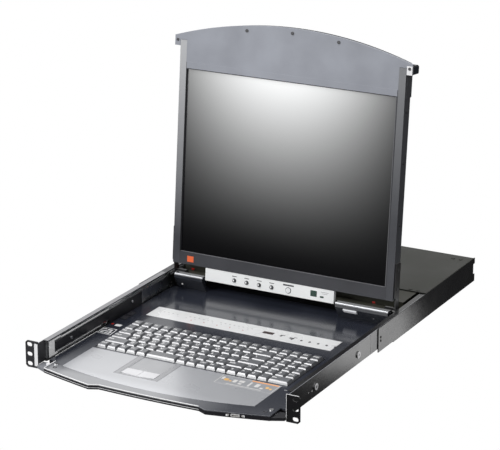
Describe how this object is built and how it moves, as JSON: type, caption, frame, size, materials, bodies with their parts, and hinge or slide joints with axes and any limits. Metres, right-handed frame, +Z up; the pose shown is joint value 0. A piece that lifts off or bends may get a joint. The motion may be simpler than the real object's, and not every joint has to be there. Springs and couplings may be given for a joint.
{
  "type": "rackmount lcd console drawer",
  "caption": "1U rackmount drawer on telescopic slides with a keyboard, a touchpad and a fold-up LCD display.",
  "frame": {"origin": "centre of the rack hole pattern, on the front plane of the rack ears", "axes": "+X to the user's right, +Y back into the rack, +Z up"},
  "size_m": [0.48, 0.7335, 0.4761],
  "materials": {
    "rack_black": "satin",
    "cover_grey": "fine matte",
    "tray_black": "satin",
    "slide_zinc": "zinc plated",
    "ball_steel": "polished",
    "screw_silver": "bright",
    "screw_dark": "black",
    "hinge_black": "satin",
    "deck_dark": "gloss",
    "palm_grey": "fine texture",
    "touch_grey": "smooth",
    "key_dark": "smooth",
    "key_base": "matte",
    "silver_paint": "silver paint",
    "bezel_grey": "matte",
    "top_grey": "satin",
    "button_grey": "smooth",
    "screen": "smooth",
    "board_green": "solder mask",
    "socket_black": "moulded",
    "latch_dark": "smooth"
  },
  "bodies": {
    "chassis": {"rack_bracket_left": "rack_black", "rack_bracket_right": "rack_black", "slide_outer_left": "slide_zinc", "slide_outer_right": "slide_zinc", "chassis_base": "rack_black", "rear_cover": "cover_grey", "rear_panel": "cover_grey", "mains_inlet": "socket_black", "rear_sockets": "socket_black", "control_board": "board_green", "power_supply": "cover_grey", "rail_screws": "screw_silver", "cover_screws": "screw_dark"},
    "slide_middle": {"slide_middle": "slide_zinc"},
    "cages_outer": {"ball_cages_outer": "ball_steel"},
    "cages_inner": {"ball_cages_inner": "ball_steel"},
    "drawer": {"slide_inner": "slide_zinc", "tray_pan": "tray_black", "deck_cover": "deck_dark", "palm_rest": "palm_grey", "touchpad": "touch_grey", "key_plate": "key_base", "status_strip": "silver_paint", "hinge_cover_left": "deck_dark", "hinge_cover_right": "deck_dark", "hinge_bracket_left": "slide_zinc", "hinge_bracket_right": "slide_zinc", "hinge_pins": "screw_silver", "rear_shelf": "cover_grey", "front_socket": "socket_black", "drawer_board": "board_green", "drawer_screws": "screw_dark"},
    "display": {"lcd_bezel": "bezel_grey", "lcd_top_panel": "top_grey", "lcd_back_cover": "bezel_grey", "lcd_panel": "screen", "lcd_side_rail_left": "bezel_grey", "lcd_side_rail_right": "bezel_grey", "hinge_arm_left": "hinge_black", "hinge_arm_right": "hinge_black", "osd_panel": "silver_paint", "osd_board": "board_green", "lcd_screws": "screw_dark"},
    "osd_button_1": {"osd_button_1": "button_grey"},
    "osd_button_2": {"osd_button_2": "button_grey"},
    "osd_button_3": {"osd_button_3": "button_grey"},
    "osd_button_4": {"osd_button_4": "button_grey"},
    "osd_power_button": {"osd_power_button": "button_grey"},
    "touch_button_left": {"touch_button_left": "touch_grey"},
    "touch_button_right": {"touch_button_right": "touch_grey"},
    "deck_button_1": {"deck_button_1": "key_dark"},
    "deck_button_2": {"deck_button_2": "key_dark"},
    "release_latch": {"release_latch": "latch_dark"},
    "mains_switch": {"mains_switch": "socket_black"},
    "keys_row_1": {"keys_row_1": "key_dark"},
    "keys_row_2": {"keys_row_2": "key_dark"},
    "keys_row_3": {"keys_row_3": "key_dark"},
    "keys_row_4": {"keys_row_4": "key_dark"},
    "keys_row_5": {"keys_row_5": "key_dark"},
    "keys_row_6": {"keys_row_6": "key_dark"}
  },
  "joints": [
    {"name": "drawer_slide", "type": "slide", "parent": "chassis", "child": "drawer", "axis": [0, -1, 0], "range_m": [0, 0.41]},
    {"name": "slide_middle_travel", "type": "slide", "parent": "chassis", "child": "slide_middle", "axis": [0, -1, 0], "range_m": [0, 0.205]},
    {"name": "cage_outer_travel", "type": "slide", "parent": "chassis", "child": "cages_outer", "axis": [0, -1, 0], "range_m": [0, 0.1025]},
    {"name": "cage_inner_travel", "type": "slide", "parent": "chassis", "child": "cages_inner", "axis": [0, -1, 0], "range_m": [0, 0.3075]},
    {"name": "display_hinge", "type": "hinge", "parent": "drawer", "child": "display", "pos_m": [0, 0.408, 0.012], "axis": [1, 0, 0], "range_deg": [-25, 95.19]},
    {"name": "mains_rocker", "type": "hinge", "parent": "chassis", "child": "mains_switch", "pos_m": [-0.158, 0.6816, -0.001], "axis": [1, 0, 0], "range_deg": [-16, 0]},
    {"name": "latch_push", "type": "slide", "parent": "drawer", "child": "release_latch", "axis": [0, 1, 0], "range_m": [0, 0.0025], "stiffness_N_per_m": 800, "springref_m": -0.001},
    {"name": "osd_press_1", "type": "slide", "parent": "display", "child": "osd_button_1", "axis": [0, 0.9959, -0.0905], "range_m": [0, 0.0007], "stiffness_N_per_m": 2800, "springref_m": -0.0002},
    {"name": "osd_press_2", "type": "slide", "parent": "display", "child": "osd_button_2", "axis": [0, 0.9959, -0.0905], "range_m": [0, 0.0007], "stiffness_N_per_m": 2800, "springref_m": -0.0002},
    {"name": "osd_press_3", "type": "slide", "parent": "display", "child": "osd_button_3", "axis": [0, 0.9959, -0.0905], "range_m": [0, 0.0007], "stiffness_N_per_m": 2800, "springref_m": -0.0002},
    {"name": "osd_press_4", "type": "slide", "parent": "display", "child": "osd_button_4", "axis": [0, 0.9959, -0.0905], "range_m": [0, 0.0007], "stiffness_N_per_m": 2800, "springref_m": -0.0002},
    {"name": "osd_power_press", "type": "slide", "parent": "display", "child": "osd_power_button", "axis": [0, 0.9959, -0.0905], "range_m": [0, 0.0007], "stiffness_N_per_m": 2800, "springref_m": -0.0002},
    {"name": "touch_press_left", "type": "slide", "parent": "drawer", "child": "touch_button_left", "axis": [0, 0, -1], "range_m": [0, 0.0006], "stiffness_N_per_m": 2500, "springref_m": -0.0002},
    {"name": "touch_press_right", "type": "slide", "parent": "drawer", "child": "touch_button_right", "axis": [0, 0, -1], "range_m": [0, 0.0006], "stiffness_N_per_m": 2500, "springref_m": -0.0002},
    {"name": "deck_press_1", "type": "slide", "parent": "drawer", "child": "deck_button_1", "axis": [0, 0, -1], "range_m": [0, 0.0008], "stiffness_N_per_m": 2500, "springref_m": -0.0002},
    {"name": "deck_press_2", "type": "slide", "parent": "drawer", "child": "deck_button_2", "axis": [0, 0, -1], "range_m": [0, 0.0008], "stiffness_N_per_m": 2500, "springref_m": -0.0002},
    {"name": "keys_press_1", "type": "slide", "parent": "drawer", "child": "keys_row_1", "axis": [0, 0, -1], "range_m": [0, 0.002], "stiffness_N_per_m": 4000, "springref_m": -0.0004},
    {"name": "keys_press_2", "type": "slide", "parent": "drawer", "child": "keys_row_2", "axis": [0, 0, -1], "range_m": [0, 0.002], "stiffness_N_per_m": 4000, "springref_m": -0.0004},
    {"name": "keys_press_3", "type": "slide", "parent": "drawer", "child": "keys_row_3", "axis": [0, 0, -1], "range_m": [0, 0.002], "stiffness_N_per_m": 4000, "springref_m": -0.0004},
    {"name": "keys_press_4", "type": "slide", "parent": "drawer", "child": "keys_row_4", "axis": [0, 0, -1], "range_m": [0, 0.002], "stiffness_N_per_m": 4000, "springref_m": -0.0004},
    {"name": "keys_press_5", "type": "slide", "parent": "drawer", "child": "keys_row_5", "axis": [0, 0, -1], "range_m": [0, 0.002], "stiffness_N_per_m": 4000, "springref_m": -0.0004},
    {"name": "keys_press_6", "type": "slide", "parent": "drawer", "child": "keys_row_6", "axis": [0, 0, -1], "range_m": [0, 0.002], "stiffness_N_per_m": 4000, "springref_m": -0.0004}
  ],
  "couplings": [
    {"joint": "slide_middle_travel", "follows": "drawer_slide", "ratio": 0.5},
    {"joint": "cage_outer_travel", "follows": "drawer_slide", "ratio": 0.25},
    {"joint": "cage_inner_travel", "follows": "drawer_slide", "ratio": 0.75}
  ]
}
